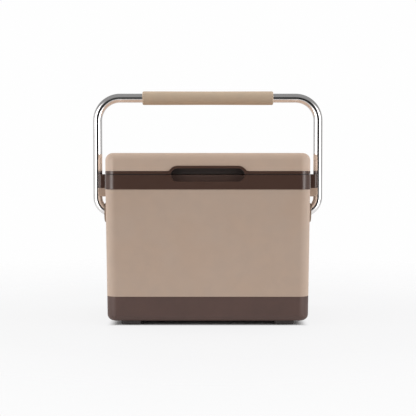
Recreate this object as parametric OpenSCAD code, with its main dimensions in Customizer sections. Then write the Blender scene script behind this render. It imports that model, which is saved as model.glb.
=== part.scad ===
// Cooler chest: an insulated box with a hinged lid and a carrying bail.
// The origin is under the middle of the whole object, on the surface that it stands on.
// The front, with the finger recess, faces -Y. The hinges are at +Y.

/* [Body] */
// Width of the body at its top edge
body_w = 300; // [260:1:360]
// Depth of the body at its top edge, front to back
body_d = 220; // [200:1:280]
// Radius of the four upright corners
corner_r = 16; // [14:0.5:22]
// Draft of the body's walls, in degrees a side
wall_draft = 0.67; // [0.2:0.01:1]
// Height at which the base tray ends and the panel starts
base_top = 42.5; // [36:0.5:60]
// Height at which the panel ends and the rim band starts
shell_top = 199; // [180:1:260]
// Radius of the tray's lower edge
base_edge = 9; // [6:0.5:10]

/* [Walls] */
// Thickness of the panel's wall
shell_wall = 3; // [2.5:0.1:3.5]
// Thickness of the band's and the tray's wall
band_wall = 2.2; // [1.8:0.1:2.2]
// Thickness of the liner's wall
liner_wall = 2.5; // [2:0.1:3]
// Distance from the outer face to the liner's outer face
insulation = 25; // [24:0.5:26]
// Clearance between two shells of the same body
shell_gap = 0.2; // [0.1:0.05:0.3]

/* [Rim band and finger recess] */
// Height of the rim band
rim_h = 21.3; // [20:0.1:24]
// How far the band stands proud of the panel
rim_proud = 0.6; // [0.2:0.1:1]
// Thickness of the deck on top of the band
deck_t = 2.5; // [2:0.1:3]
// Radius of the recess's round ends
recess_r = 9.5; // [8:0.5:10]
// Width of the recess between its round ends
recess_straight = 88; // [60:1:100]
// Depth of the recess
recess_depth = 14; // [10:0.5:14]

/* [Lid] */
// Open gap between the band and the lid's frame
seam_gap = 1.2; // [0.8:0.1:1.5]
// Height of the lid's frame
frame_h = 4; // [3:0.1:4]
// Height of the lid's cap above its frame
cap_h = 26.5; // [24:0.5:34]
// Radius of the cap's upper edge
cap_edge = 11; // [8:0.5:12]
// How deep the lid's plug goes into the mouth
plug_depth = 9.3; // [6:0.1:12]
// Opening angle of the lid, in degrees
lid_open = 100; // [80:1:100]

/* [Hinges] */
// Distance of each hinge from the middle
hinge_x = 80; // [60:1:100]
// Radius of a hinge knuckle
knuckle_r = 4.5; // [4:0.1:4.6]
// Radius of a hinge pin
pin_r = 2; // [1.5:0.1:2.4]
// Length of the lid's knuckle
lid_knuckle = 16; // [12:1:20]
// Length of each of the two knuckles on the band
band_knuckle = 12; // [8:1:14]

/* [Bail] */
// Outer diameter of the bail's tube
tube_d = 14; // [12:0.5:14]
// Wall of the tube
tube_wall = 1.2; // [1:0.1:1.5]
// Distance of each leg's centre line from the middle
leg_x = 171.7; // [171.7:0.1:171.7]
// Height of the pivots
pivot_z = 160.5; // [155:0.5:161]
// Height of the bar above the pivots
bail_h = 178; // [178:1:200]
// Bend radius of the bar's ends
upper_bend = 35; // [30:1:40]
// Bend radius of the legs' lower ends
lower_bend = 24; // [24:0.5:24]
// Length of the grip sleeve
grip_l = 203; // [160:1:220]
// Diameter of the grip sleeve
grip_d = 21.2; // [18:0.1:21.2]

/* [Pivots] */
// Outer radius of a pivot cup
cup_r = 15; // [15:0.1:17]
// How far a cup's face stands from the middle
cup_face = 160.5; // [160:0.1:160.6]
// Radius of the pocket that the tube's bend turns in
pocket_r = 13.3; // [13.2:0.05:13.4]
// Outer radius of a bush
bush_r = 10; // [9:0.1:11]
// Length of a bush
bush_l = 12; // [10:0.5:12]
// Radial clearance of a turning fit
running = 0.06; // [0.02:0.01:0.1]

/* [Ears] */
// Half the width of an ear, front to back
ear_half = 20; // [16:0.5:24]
// How far the front lip reaches from the middle
lip_x = 169.5; // [168:0.1:170]
// How far the open rear part reaches from the middle
ear_x = 164.2; // [162:0.1:164.2]
// Height of the boss under an ear
boss_h = 13; // [8:0.5:14]
// Clearance between an ear and the leg
groove_gap = 0.4; // [0.3:0.05:0.6]

/* [Feet] */
// Width, depth and height of a foot
foot_size = [29, 24, 6]; // [4:1:40]
// Distance of the feet from the middle, left and right
foot_x = 112; // [90:1:114]
// Distance of the feet from the body's middle, front and back
foot_y = 86; // [60:1:86]
// Radius of a foot screw's shank
screw_r = 1.9; // [1.5:0.1:2.2]

/* [Hidden] */
$fn = 64;

beige = "#b09a8a";
dark = "#4a3832";
dark_base = "#57463f";
taupe = "#8d7867";
grip_beige = "#b3a28c";
liner_white = "#e6e4df";
foam_cream = "#e8dcb8";
rubber_black = "#2b2622";
steel = "#c9c9cc";

past = 1; // how far a cutting shape runs past the face that it cuts
rim_top = shell_top + rim_h;
frame_bottom = rim_top + seam_gap;
frame_top = frame_bottom + frame_h;
lid_top = frame_top + cap_h;
recess_z = rim_top - 0.3;
recess_end = recess_straight / 2;
border_r = recess_r + 3.8;
border_proud = 1.2;
hinge_y = body_d / 2 + 2.5;
hinge_z = rim_top + seam_gap / 2;
relief_r = knuckle_r + 0.4;
band_reach = lid_knuckle / 2 + 0.3 + band_knuckle;
station_half = lid_knuckle / 2 + band_knuckle + 2;
pin_head_r = pin_r + 1.2;

// The middle of the body is ahead of the object's middle, because the hinges stand out behind it.
body_y = -(hinge_y + knuckle_r - body_d / 2 - border_proud) / 2;

tray_floor = foot_size[2] + 2.5;
inner_face = band_wall + shell_gap;
step_wall = 2.4;
shell_floor = tray_floor + 0.5;
tongue_top = shell_top + 7;
mouth = insulation + liner_wall;
mouth_r = 20;
liner_floor = 36;
deck_z = rim_top - deck_t;
flange_t = 2.2;
boss_top = shell_floor + 13;

tube_r = tube_d / 2;
bar_z = pivot_z + bail_h;
bush_outer = cup_face - 13.5;
bush_inner = bush_outer - bush_l;
tube_end = bush_inner - 0.4;
cup_end = bush_inner - 4;
plug_head_t = 1.6;

seal_in = 24;
seal_out = 18;
plug_gap = 2;
liner_flange_z = rim_top + 3.7;

// Half the width or the depth of the drafted body at a height.
function drafted(size, z) = size / 2 - tan(wall_draft) * (shell_top - min(z, shell_top));

module placed() {
    translate([0, body_y, 0]) children();
}

module at_sides() {
    children();
    mirror([1, 0, 0]) children();
}

// End of a corner post: a disc whose lower edge is rounded.
module post_end(r, edge) {
    rotate_extrude($fn = 32)
        if (edge > 0)
            intersection() {
                square([r, edge]);
                union() {
                    square([r - edge, edge]);
                    translate([r - edge, edge]) circle(edge);
                }
            }
        else
            square([r, 0.5]);
}

// A box with the body's draft and round corners, inset from the body's outer face.
module block(z0, z1, inset, low_edge = 0, high_edge = 0, radius = 0) {
    r = radius > 0 ? radius : corner_r - inset;
    hull()
        for (sx = [-1, 1], sy = [-1, 1]) {
            translate([
                sx * (drafted(body_w, z0) - inset - r),
                sy * (drafted(body_d, z0) - inset - r),
                z0
            ])
                post_end(r, low_edge);
            translate([
                sx * (drafted(body_w, z1) - inset - r),
                sy * (drafted(body_d, z1) - inset - r),
                z1
            ])
                mirror([0, 0, 1]) post_end(r, high_edge);
        }
}

module round_rect(w, d, r) {
    square([w - 2 * r, d], center = true);
    square([w, d - 2 * r], center = true);
    for (sx = [-1, 1], sy = [-1, 1])
        translate([sx * (w / 2 - r), sy * (d / 2 - r)]) circle(r);
}

// A straight-sided slab with round corners, inset from the body's outer face.
module slab(z0, z1, inset, radius = 0) {
    r = radius > 0 ? radius : corner_r - inset;
    translate([0, 0, z0])
        linear_extrude(z1 - z0)
            round_rect(body_w - 2 * inset, body_d - 2 * inset, r);
}

// The recess's outline, grown by a margin, seen from the front.
module recess_outline(margin = 0) {
    square([recess_straight, 2 * (recess_r + margin)], center = true);
    for (sx = [-1, 1])
        translate([sx * recess_end, 0]) circle(recess_r + margin);
}

// The recess's outline, run from y0 to y1.
module recess_bar(y0, y1, margin = 0) {
    translate([0, y1, recess_z])
        rotate([90, 0, 0])
            linear_extrude(y1 - y0) recess_outline(margin);
}

module recess_space() {
    recess_bar(-body_d / 2 - 3, -body_d / 2 + recess_depth);
}

module recess_housing(margin = 0) {
    recess_bar(
        -body_d / 2 + 0.2 - margin * 10,
        -body_d / 2 + recess_depth + band_wall + margin,
        band_wall + margin
    );
}

// Everything between two heights.
module between(z0, z1) {
    translate([-body_w, -body_d, z0]) cube([2 * body_w, 2 * body_d, z1 - z0]);
}

module ear_outline() {
    round = 5;
    root = body_w / 2 - 2;
    difference() {
        union() {
            translate([root, round - ear_half]) square([lip_x - root, ear_half - round]);
            translate([root, -ear_half]) square([lip_x - root - round, 2 * round]);
            translate([lip_x - round, round - ear_half]) circle(round);
            translate([root, -round]) square([ear_x - root, ear_half]);
            translate([root, -round]) square([ear_x - root - round, ear_half + round]);
            translate([ear_x - round, ear_half - round]) circle(round);
        }
        translate([leg_x, 0]) circle(tube_r + groove_gap);
    }
}

// One ear's stretch of height, with its outer lower corner rounded.
module ear(z0, z1, low_round) {
    intersection() {
        translate([0, 0, z0]) linear_extrude(z1 - z0) ear_outline();
        translate([0, ear_half + past, 0])
            rotate([90, 0, 0])
                linear_extrude(2 * (ear_half + past)) {
                    translate([0, z0 + low_round]) square([lip_x + past, z1 - z0]);
                    translate([0, z0 - past]) square([lip_x - low_round, z1 - z0 + 2 * past]);
                    translate([lip_x - low_round, z0 + low_round]) circle(low_round);
                }
    }
}

// A cylinder along X, on a hinge's axis, centred at x.
module on_hinge(x, length, r) {
    translate([x - length / 2, hinge_y, hinge_z]) rotate([0, 90, 0]) cylinder(r = r, h = length);
}

// A web along X whose outline has points [y, z] from the hinge's axis.
module hinge_web(x, length, points) {
    translate([x - length / 2, hinge_y, hinge_z])
        rotate([90, 0, 90])
            linear_extrude(length) polygon(points);
}

module band_knuckles() {
    off = band_reach - band_knuckle / 2;
    web = [[-3.5, -17], [-1.9, -17], [3.9, -2.4], [0, 0], [-3.5, -0.6]];
    at_sides()
        for (side = [-1, 1]) {
            on_hinge(hinge_x + side * off, band_knuckle, knuckle_r);
            hinge_web(hinge_x + side * off, band_knuckle, web);
        }
}

module lid_knuckles() {
    web = [[-4, 0.7], [0, 0.7], [3, 3.4], [-0.5, 4.5], [-4, 4.5]];
    at_sides() {
        on_hinge(hinge_x, lid_knuckle, knuckle_r);
        hinge_web(hinge_x, lid_knuckle, web);
    }
}

module outer_shell() {
    color(beige) placed() {
        difference() {
            union() {
                block(base_top, shell_top, 0);
                block(shell_floor, tongue_top, inner_face, base_edge - 2);
                at_sides() ear(shell_top - boss_h, shell_top, 6);
            }
            block(base_top + shell_wall, shell_top - shell_wall, shell_wall);
            block(shell_floor + step_wall, tongue_top + past, inner_face + step_wall, 5);
            at_sides() cup_cylinder(cup_r + running);
            recess_housing(0.5);
            foot_screw_holes(shell_floor - past, tray_floor + 5);
        }
        difference() {
            at_feet() translate([0, 0, shell_floor]) cylinder(r = 5, h = boss_top - shell_floor);
            foot_screw_holes(shell_floor - past, boss_top + past);
        }
    }
}

module foam_core() {
    color(foam_cream) placed()
        difference() {
            union() {
                block(shell_floor + step_wall + shell_gap, tongue_top, inner_face + 2.6, 5);
                slab(tongue_top - past, deck_z - flange_t - 0.4, inner_face + 2.6);
            }
            block(liner_floor - shell_gap, rim_top, insulation - shell_gap, 12, 0, mouth_r + 2.7);
            at_sides() cup_cylinder(cup_r + shell_gap);
            recess_housing(0.5);
            at_feet() cylinder(r = 5.2, h = boss_top + shell_gap);
        }
}

module inner_liner() {
    flange_in = 12;
    color(liner_white) placed()
        difference() {
            union() {
                block(liner_floor, deck_z - shell_gap, insulation, 12, 0, mouth_r + liner_wall);
                slab(deck_z - shell_gap - flange_t, deck_z - shell_gap, flange_in, 8);
            }
            block(liner_floor + liner_wall, rim_top, mouth, 9.5, 0, mouth_r);
            recess_housing(0.5);
        }
}

module rim_band() {
    color(dark) placed()
        difference() {
            union() {
                difference() {
                    slab(shell_top, rim_top, -rim_proud);
                    slab(shell_top - past, deck_z, band_wall);
                }
                intersection() {
                    recess_housing();
                    between(shell_top, rim_top);
                }
                at_sides() ear(shell_top, rim_top, 0.5);
                band_knuckles();
            }
            slab(deck_z - past, rim_top + past, mouth, mouth_r);
            recess_space();
            at_sides() {
                on_hinge(hinge_x, lid_knuckle + 0.6, relief_r);
                on_hinge(hinge_x, 2 * station_half, pin_r + running);
                for (side = [-1, 1])
                    on_hinge(
                        hinge_x + side * (station_half + band_reach) / 2,
                        station_half - band_reach,
                        pin_head_r + 0.3
                    );
            }
        }
}

module base_tray() {
    color(dark_base) placed()
        difference() {
            block(foot_size[2], base_top, 0, base_edge);
            block(tray_floor, base_top + past, band_wall, base_edge - 2);
            foot_screw_holes(foot_size[2] - past, tray_floor + past);
        }
}

module at_feet(xs = [-1, 1], ys = [-1, 1]) {
    for (sx = xs, sy = ys)
        translate([sx * foot_x, sy * foot_y, 0]) children();
}

module foot_screw_holes(z0, z1) {
    at_feet() translate([0, 0, z0]) cylinder(r = screw_r + running, h = z1 - z0);
}

module foot(sx, sy) {
    color(rubber_black) placed()
        at_feet([sx], [sy])
            difference() {
                linear_extrude(foot_size[2]) round_rect(foot_size[0], foot_size[1], 5);
                translate([0, 0, -past]) cylinder(r = screw_r + running, h = foot_size[2] + 2 * past);
                translate([0, 0, -past]) cylinder(r = 4.4, h = 3.2 + past);
            }
}

module foot_front_left() { foot(-1, -1); }
module foot_front_right() { foot(1, -1); }
module foot_rear_left() { foot(-1, 1); }
module foot_rear_right() { foot(1, 1); }

module foot_screws() {
    color(steel) placed()
        at_feet() {
            translate([0, 0, 0.8]) cylinder(r = 3.8, h = 2.4);
            translate([0, 0, 3]) cylinder(r = screw_r, h = boss_top - 5);
        }
}

// A right-hand cup's outer form, along X.
module cup_cylinder(r) {
    translate([cup_end, 0, pivot_z]) rotate([0, 90, 0]) cylinder(r = r, h = cup_face - cup_end);
}

// A cylinder on the right-hand pivot's axis, from x0 to x1.
module on_pivot(x0, x1, r) {
    translate([x0, 0, pivot_z]) rotate([0, 90, 0]) cylinder(r = r, h = x1 - x0);
}

module pivot_cup() {
    color(taupe) placed()
        difference() {
            cup_cylinder(cup_r);
            on_pivot(bush_outer, cup_face + past, pocket_r);
            on_pivot(cup_end + 1.6, bush_outer + past, bush_r + running);
        }
}

module pivot_cup_left() { mirror([1, 0, 0]) pivot_cup(); }
module pivot_cup_right() { pivot_cup(); }

module pivot_bush() {
    color(rubber_black) placed()
        difference() {
            on_pivot(bush_inner, bush_outer, bush_r);
            on_pivot(bush_inner - past, bush_outer + past, tube_r + running);
        }
}

module pivot_bush_left() { mirror([1, 0, 0]) pivot_bush(); }
module pivot_bush_right() { pivot_bush(); }

module hinge_pin() {
    shank = lid_knuckle + 0.6 + 2 * band_knuckle + 0.2;
    head_t = 1.2;
    color(steel) placed() {
        on_hinge(hinge_x, shank + 2 * head_t, pin_r);
        for (side = [-1, 1])
            on_hinge(hinge_x + side * (shank + head_t) / 2, head_t, pin_head_r);
    }
}

module hinge_pin_left() { mirror([1, 0, 0]) hinge_pin(); }
module hinge_pin_right() { hinge_pin(); }

module lid_shell() {
    color(beige) placed()
        difference() {
            block(frame_top, lid_top, 0, 0, cap_edge);
            block(frame_top - past, lid_top - 2.8, 2.8, 0, cap_edge - 2.8);
            recess_housing(0.2);
        }
}

// Raised border round the recess's upper half, with a small flare where it meets the frame.
module recess_border() {
    flare_z = frame_top - recess_z;
    translate([0, -body_d / 2, recess_z])
        rotate([90, 0, 0])
            linear_extrude(border_proud) {
                recess_outline(border_r - recess_r);
                for (side = [0, 1])
                    mirror([side, 0])
                        polygon([
                            [recess_end + border_r - 3, flare_z - 2],
                            [recess_end + border_r + 2.2, flare_z - 2],
                            [recess_end + border_r + 2.2, flare_z],
                            [recess_end + border_r - 0.6, flare_z + 2.4],
                            [recess_end + border_r - 3, flare_z + 2.4]
                        ]);
            }
}

module lid_frame() {
    color(dark) placed()
        difference() {
            union() {
                difference() {
                    union() {
                        slab(frame_bottom, frame_top, -0.2);
                        slab(frame_top - past, frame_top + 5.5, 3);
                    }
                    slab(frame_bottom - past, frame_top, 9);
                    slab(frame_bottom - past, frame_top + 6.5, 5.2);
                }
                intersection() {
                    union() {
                        recess_housing();
                        recess_border();
                    }
                    between(frame_bottom, lid_top);
                }
                lid_knuckles();
            }
            recess_space();
            at_sides() {
                for (side = [-1, 1])
                    on_hinge(
                        hinge_x + side * (lid_knuckle / 2 + station_half) / 2,
                        station_half - lid_knuckle / 2,
                        relief_r
                    );
                on_hinge(hinge_x, 2 * station_half, pin_r + running);
            }
        }
}

module lid_liner() {
    plug = mouth + plug_gap;
    color(liner_white) placed()
        difference() {
            union() {
                slab(liner_flange_z, liner_flange_z + flange_t, 9.4, 8);
                slab(rim_top - plug_depth, liner_flange_z + 1, plug, mouth_r - plug_gap);
            }
            slab(
                rim_top - plug_depth + flange_t, liner_flange_z + flange_t + past,
                plug + flange_t, mouth_r - plug_gap - flange_t
            );
            recess_housing(0.5);
        }
}

module lid_foam() {
    plug = mouth + plug_gap + flange_t + shell_gap;
    foam_bottom = liner_flange_z + flange_t + shell_gap;
    color(foam_cream) placed()
        difference() {
            union() {
                block(foam_bottom, lid_top - 3, 5.5, 0, 7);
                slab(
                    rim_top - plug_depth + flange_t + shell_gap, foam_bottom + past,
                    plug, mouth_r - plug_gap - flange_t - shell_gap
                );
            }
            recess_housing(0.5);
        }
}

module lid_seal() {
    color(rubber_black) placed()
        difference() {
            slab(rim_top + 0.3, liner_flange_z, seal_out, 22);
            slab(rim_top + 0.3 - past, liner_flange_z + past, seal_in, 16);
        }
}

// The bail's line from the middle of the bar down the right-hand leg, as a rod of radius r.
module bail_half(r, end_x) {
    translate([0, 0, bar_z]) rotate([0, 90, 0]) cylinder(r = r, h = leg_x - upper_bend);
    translate([leg_x - upper_bend, 0, bar_z - upper_bend])
        rotate([90, 0, 0])
            rotate_extrude(angle = 90) translate([upper_bend, 0]) circle(r);
    translate([leg_x, 0, pivot_z + lower_bend])
        cylinder(r = r, h = bail_h - upper_bend - lower_bend);
    translate([leg_x - lower_bend, 0, pivot_z + lower_bend])
        rotate([90, 0, 0])
            rotate([0, 0, -90])
                rotate_extrude(angle = 90) translate([lower_bend, 0]) circle(r);
    on_pivot(end_x, leg_x - lower_bend, r);
}

module bail_tube() {
    color(steel) placed()
        difference() {
            at_sides() bail_half(tube_r, tube_end);
            at_sides() bail_half(tube_r - tube_wall, tube_end - past);
        }
}

module bail_grip() {
    round = 1.4;
    wall = grip_d / 2 - tube_r - running;
    color(grip_beige) placed()
        translate([-grip_l / 2, 0, bar_z])
            rotate([0, 90, 0])
                rotate_extrude()
                    translate([tube_r + running, 0]) {
                        square([wall - round, grip_l]);
                        translate([0, round]) square([wall, grip_l - 2 * round]);
                        for (end = [round, grip_l - round])
                            translate([wall - round, end]) circle(round);
                    }
}

module bail_end_plug() {
    color(rubber_black) placed() {
        on_pivot(tube_end - plug_head_t, tube_end, tube_r + 2);
        on_pivot(tube_end - past / 2, tube_end + 9, tube_r - tube_wall - 0.05);
    }
}

module bail_end_plug_left() { mirror([1, 0, 0]) bail_end_plug(); }
module bail_end_plug_right() { bail_end_plug(); }

outer_shell();
foam_core();
inner_liner();
rim_band();
base_tray();
foot_front_left();
foot_front_right();
foot_rear_left();
foot_rear_right();
foot_screws();
pivot_cup_left();
pivot_cup_right();
hinge_pin_left();
hinge_pin_right();
lid_shell();
lid_frame();
lid_liner();
lid_foam();
lid_seal();
pivot_bush_left();
pivot_bush_right();
bail_tube();
bail_grip();
bail_end_plug_left();
bail_end_plug_right();
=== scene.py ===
"""Cooler chest: builds the finished pieces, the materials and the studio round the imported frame."""

import math

import bmesh
import bpy
from bpy.props import FloatProperty, FloatVectorProperty, IntProperty, PointerProperty
from bpy.types import Operator, Panel, PropertyGroup
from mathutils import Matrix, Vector


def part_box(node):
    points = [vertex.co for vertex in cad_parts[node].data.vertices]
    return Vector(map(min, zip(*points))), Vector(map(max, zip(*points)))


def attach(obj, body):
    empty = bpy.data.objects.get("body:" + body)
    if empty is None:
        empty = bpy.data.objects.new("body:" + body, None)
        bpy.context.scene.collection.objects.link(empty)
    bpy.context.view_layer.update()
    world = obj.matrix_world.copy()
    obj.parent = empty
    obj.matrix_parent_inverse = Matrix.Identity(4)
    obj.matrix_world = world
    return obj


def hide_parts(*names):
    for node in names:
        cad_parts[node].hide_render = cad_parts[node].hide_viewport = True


bl_info = {
    "name": "Cooler Chest",
    "version": (1, 0, 0),
    "blender": (4, 5, 0),
    "location": "View3D > Sidebar > Cooler",
    "description": "Builds an insulated cooler chest with a hinged lid and a carrying bail",
    "category": "Object",
}

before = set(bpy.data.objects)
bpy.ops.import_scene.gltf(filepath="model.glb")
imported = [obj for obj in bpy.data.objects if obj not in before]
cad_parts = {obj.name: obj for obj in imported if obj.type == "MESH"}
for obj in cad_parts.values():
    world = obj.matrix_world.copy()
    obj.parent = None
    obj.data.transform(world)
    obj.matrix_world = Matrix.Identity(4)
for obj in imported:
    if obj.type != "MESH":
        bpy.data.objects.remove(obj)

MM = 0.001
LID_LOW, LID_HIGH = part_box("lid_shell")
BAND_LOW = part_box("rim_band")[0]
TRAY_LOW, TRAY_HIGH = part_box("base_tray")
LINER_LOW, LINER_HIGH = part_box("inner_liner")
PANEL_LOW, PANEL_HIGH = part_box("lid_liner")
SEAL_LOW, SEAL_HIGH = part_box("lid_seal")
CUP_LOW, CUP_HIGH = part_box("pivot_cup_right")
BUSH_LOW, BUSH_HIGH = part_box("pivot_bush_right")
PLUG_LOW, PLUG_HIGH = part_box("bail_end_plug_right")
PIN_LOW, PIN_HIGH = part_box("hinge_pin_right")
FOOT_LOW, FOOT_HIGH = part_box("foot_front_right")
TUBE_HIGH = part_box("bail_tube")[1]
GRIP_LOW, GRIP_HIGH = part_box("bail_grip")

MID_Y = (LID_LOW.y + LID_HIGH.y) / 2
FRONT_Y = LID_LOW.y
REAR_Y = LID_HIGH.y
SHELL_TOP = BAND_LOW.z
RIM_TOP = SEAL_LOW.z - 0.3 * MM
FRAME_BOTTOM = RIM_TOP + 1.2 * MM
RECESS_Z = RIM_TOP - 0.3 * MM
PIVOT = (CUP_LOW + CUP_HIGH) / 2
HINGE = (PIN_LOW + PIN_HIGH) / 2
BAR_Z = (GRIP_LOW.z + GRIP_HIGH.z) / 2

# Radii are half the width of the round thing; a hole is a little wider than what goes in it.
HINGE_XS = (-HINGE.x, HINGE.x)
LID_KNUCKLE = 16 * MM
BAND_KNUCKLE = 12 * MM
KNUCKLE = 4.5 * MM
PIN_HOLE = 2.06 * MM
PIN_HEAD = 3.5 * MM
PILOT_HOLE = 1.96 * MM
CUP_RADIUS = 15 * MM
CUP_HOLE = CUP_RADIUS + 0.06 * MM


# Sizes and colours

def measure(name, description, size):
    """A setting in metres."""
    return FloatProperty(name=name, description=description, default=size, unit="LENGTH")


def slope(name, description, degrees):
    """A setting for an angle."""
    return FloatProperty(
        name=name, description=description, default=math.radians(degrees), unit="ROTATION"
    )


def brightness(name, description, level):
    """A setting for a level of light."""
    return FloatProperty(name=name, description=description, default=level, min=0)


def colour_of(name, description, colour):
    """A setting for a colour."""
    return FloatVectorProperty(name=name, description=description, default=colour, subtype="COLOR")


class CoolerSizes(PropertyGroup):
    """The radii and margins that the finished pieces add to the frame."""

    corner: measure("Corner", "Radius of the upright corners", 16 * MM)
    draft: slope("Draft", "Slope of the body's walls", 0.67)
    lid_edge: measure("Lid edge", "Radius of the lid's upper edge", 11 * MM)
    base_edge: measure("Base edge", "Radius of the tray's lower edge", 9 * MM)
    rim_proud: measure("Rim proud", "How far the rim band stands out", 0.6 * MM)
    recess_radius: measure("Recess radius", "Radius of the recess's ends", 9.5 * MM)
    recess_width: measure("Recess width", "Width of the whole recess", 107 * MM)
    recess_depth: measure("Recess depth", "Depth of the finger recess", 14 * MM)
    tube: measure("Tube", "Radius of the bail's tube", 7 * MM)
    upper_bend: measure("Upper bend", "Radius of the bail's upper bends", 35 * MM)
    lower_bend: measure("Lower bend", "Radius of the bail's lower bends", 24 * MM)
    corner_steps: IntProperty(
        name="Corner steps", description="Faces round each upright corner", default=14, min=4, max=32
    )


class CoolerColours(PropertyGroup):
    """The colours of the moulded and rubber pieces."""

    beige: colour_of("Beige", "Body and lid", (0.434, 0.322, 0.25))
    rim: colour_of("Rim", "Rim band and lid frame", (0.069, 0.037, 0.0275))
    base: colour_of("Base", "Base tray", (0.08, 0.043, 0.0345))
    pivot: colour_of("Pivot", "Pivot cups", (0.27, 0.19, 0.135))
    grip: colour_of("Grip", "Grip sleeve", (0.5, 0.385, 0.28))
    liner: colour_of("Liner", "Liner and lid panel", (0.78, 0.77, 0.74))
    rubber: colour_of("Rubber", "Feet and seal", (0.034, 0.027, 0.026))


class StageSettings(PropertyGroup):
    """The camera and the light of the room."""

    distance: measure("Distance", "From the camera to the front face", 1.4)
    height: measure("Height", "Height of the camera", 0.232)
    pitch: slope("Pitch", "Downward tilt of the camera", 2.45)
    lens: FloatProperty(name="Lens", description="Focal length", default=83.6, min=20, max=200)
    middle: brightness("Middle", "Brightness of the room between the side boxes", 0.25)
    sides: brightness("Side boxes", "Brightness of the room left and right", 3.2)
    overhead: brightness("Overhead", "Extra brightness of the room above", 0.65)
    ceiling: brightness("Ceiling", "Brightness of the ceiling for shiny surfaces", 0.3)
    backdrop: brightness("Backdrop", "Brightness of the room behind", 0.9)


def sizes():
    """The radii and margins, as they are set now."""
    return bpy.context.scene.cooler_sizes


def colours():
    """The colours, as they are set now."""
    return bpy.context.scene.cooler_colours


# Modelling steps

def only(piece):
    """Make one object the only selected and active one."""
    bpy.ops.object.select_all(action="DESELECT")
    piece.select_set(True)
    bpy.context.view_layer.objects.active = piece


def edit(piece):
    """Open one object in edit mode."""
    only(piece)
    bpy.ops.object.mode_set(mode="EDIT")


def leave():
    """Back to object mode."""
    bpy.ops.object.mode_set(mode="OBJECT")


def weld(distance):
    """In edit mode, join all points closer than a distance, and leave everything selected."""
    bpy.ops.mesh.select_all(action="SELECT")
    bpy.ops.mesh.remove_doubles(threshold=distance)


def turn_outwards():
    """In edit mode, make every face look outwards."""
    bpy.ops.mesh.select_all(action="SELECT")
    bpy.ops.mesh.normals_make_consistent(inside=False)


def pick(kind, test):
    """In edit mode, select only the VERT, EDGE or FACE items that pass a test."""
    bpy.ops.mesh.select_mode(type=kind)
    bpy.ops.mesh.select_all(action="DESELECT")
    data = bpy.context.edit_object.data
    mesh = bmesh.from_edit_mesh(data)
    items = {"VERT": mesh.verts, "EDGE": mesh.edges, "FACE": mesh.faces}[kind]
    for item in items:
        if test(item):
            item.select_set(True)
    mesh.select_flush_mode()
    bmesh.update_edit_mesh(data)


def near(a, b, slack=0.02 * MM):
    """Whether two measures are the same, give or take a slack."""
    return abs(a - b) < slack


def upright(edge):
    """A test for edges that are exactly upright."""
    a, b = (v.co for v in edge.verts)
    return near(a.x, b.x) and near(a.y, b.y) and not near(a.z, b.z)


def level_at(z):
    """A test for edges that lie at a height."""
    return lambda edge: all(near(v.co.z, z) for v in edge.verts)


def placed(name):
    """Name the new object and bring it to the origin, unturned and unscaled."""
    piece = bpy.context.object
    piece.name = piece.data.name = name
    bpy.ops.object.transform_apply(location=True, rotation=True, scale=True)
    return piece


def add_box(name, low, high):
    """A box between two corners."""
    bpy.ops.object.select_all(action="DESELECT")
    low, high = Vector(low), Vector(high)
    bpy.ops.mesh.primitive_cube_add(size=1, location=(low + high) / 2, scale=high - low)
    return placed(name)


def add_rod(name, start, end, radius, sides=64):
    """A cylinder between two points on one axis line."""
    start, end = Vector(start), Vector(end)
    along = end - start
    bpy.ops.object.select_all(action="DESELECT")
    bpy.ops.mesh.primitive_cylinder_add(
        vertices=sides, radius=radius, depth=along.length,
        location=(start + end) / 2, rotation=along.to_track_quat("Z", "Y").to_euler(),
    )
    return placed(name)


def round_edges(piece, test, radius, steps):
    """Round the edges that pass a test."""
    edit(piece)
    pick("EDGE", test)
    bpy.ops.mesh.bevel(offset=radius, segments=steps, profile=0.5, affect="EDGES", clamp_overlap=True)
    weld(0.005 * MM)
    leave()


def delete_faces(piece, test):
    """Delete the faces that pass a test."""
    edit(piece)
    pick("FACE", test)
    bpy.ops.mesh.delete(type="FACE")
    leave()


def modify(piece, kind, **settings):
    """Add a modifier, set it and apply it."""
    only(piece)
    modifier = piece.modifiers.new(kind.title(), kind)
    for key, value in settings.items():
        setattr(modifier, key, value)
    bpy.ops.object.modifier_apply(modifier=modifier.name)


def thicken(piece, wall):
    """Give an open shell its wall, inwards."""
    modify(piece, "SOLIDIFY", thickness=wall, offset=-1, use_even_offset=True)


def combine(piece, other, operation):
    """Add or cut with another object, which is used up."""
    modify(piece, "BOOLEAN", object=other, operation=operation, solver="EXACT")
    bpy.data.objects.remove(other)


def cut(piece, *others):
    """Cut other objects out of a piece, one by one."""
    for other in others:
        combine(piece, other, "DIFFERENCE")


def merge(piece, *others):
    """Add other objects to a piece, one by one."""
    for other in others:
        combine(piece, other, "UNION")


def soften(piece, width, steps=3, angle=32):
    """Round every hard edge, by no more than its shortest edge leaves room for, and shade smooth."""
    edit(piece)
    weld(0.01 * MM)
    leave()
    modify(
        piece, "BEVEL", width=width, segments=steps, limit_method="ANGLE",
        angle_limit=math.radians(angle), miter_outer="MITER_ARC", use_clamp_overlap=True,
    )
    smooth(piece)


def smooth(piece, angle=35):
    """Shade smooth across the shallow edges."""
    only(piece)
    bpy.ops.object.shade_smooth_by_angle(angle=math.radians(angle))
    modify(piece, "WEIGHTED_NORMAL", keep_sharp=True)


def drafted(size, z):
    """Half a width or depth of the sloping body at a height."""
    return size / 2 - math.tan(sizes().draft) * max(SHELL_TOP - z, 0)


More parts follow.
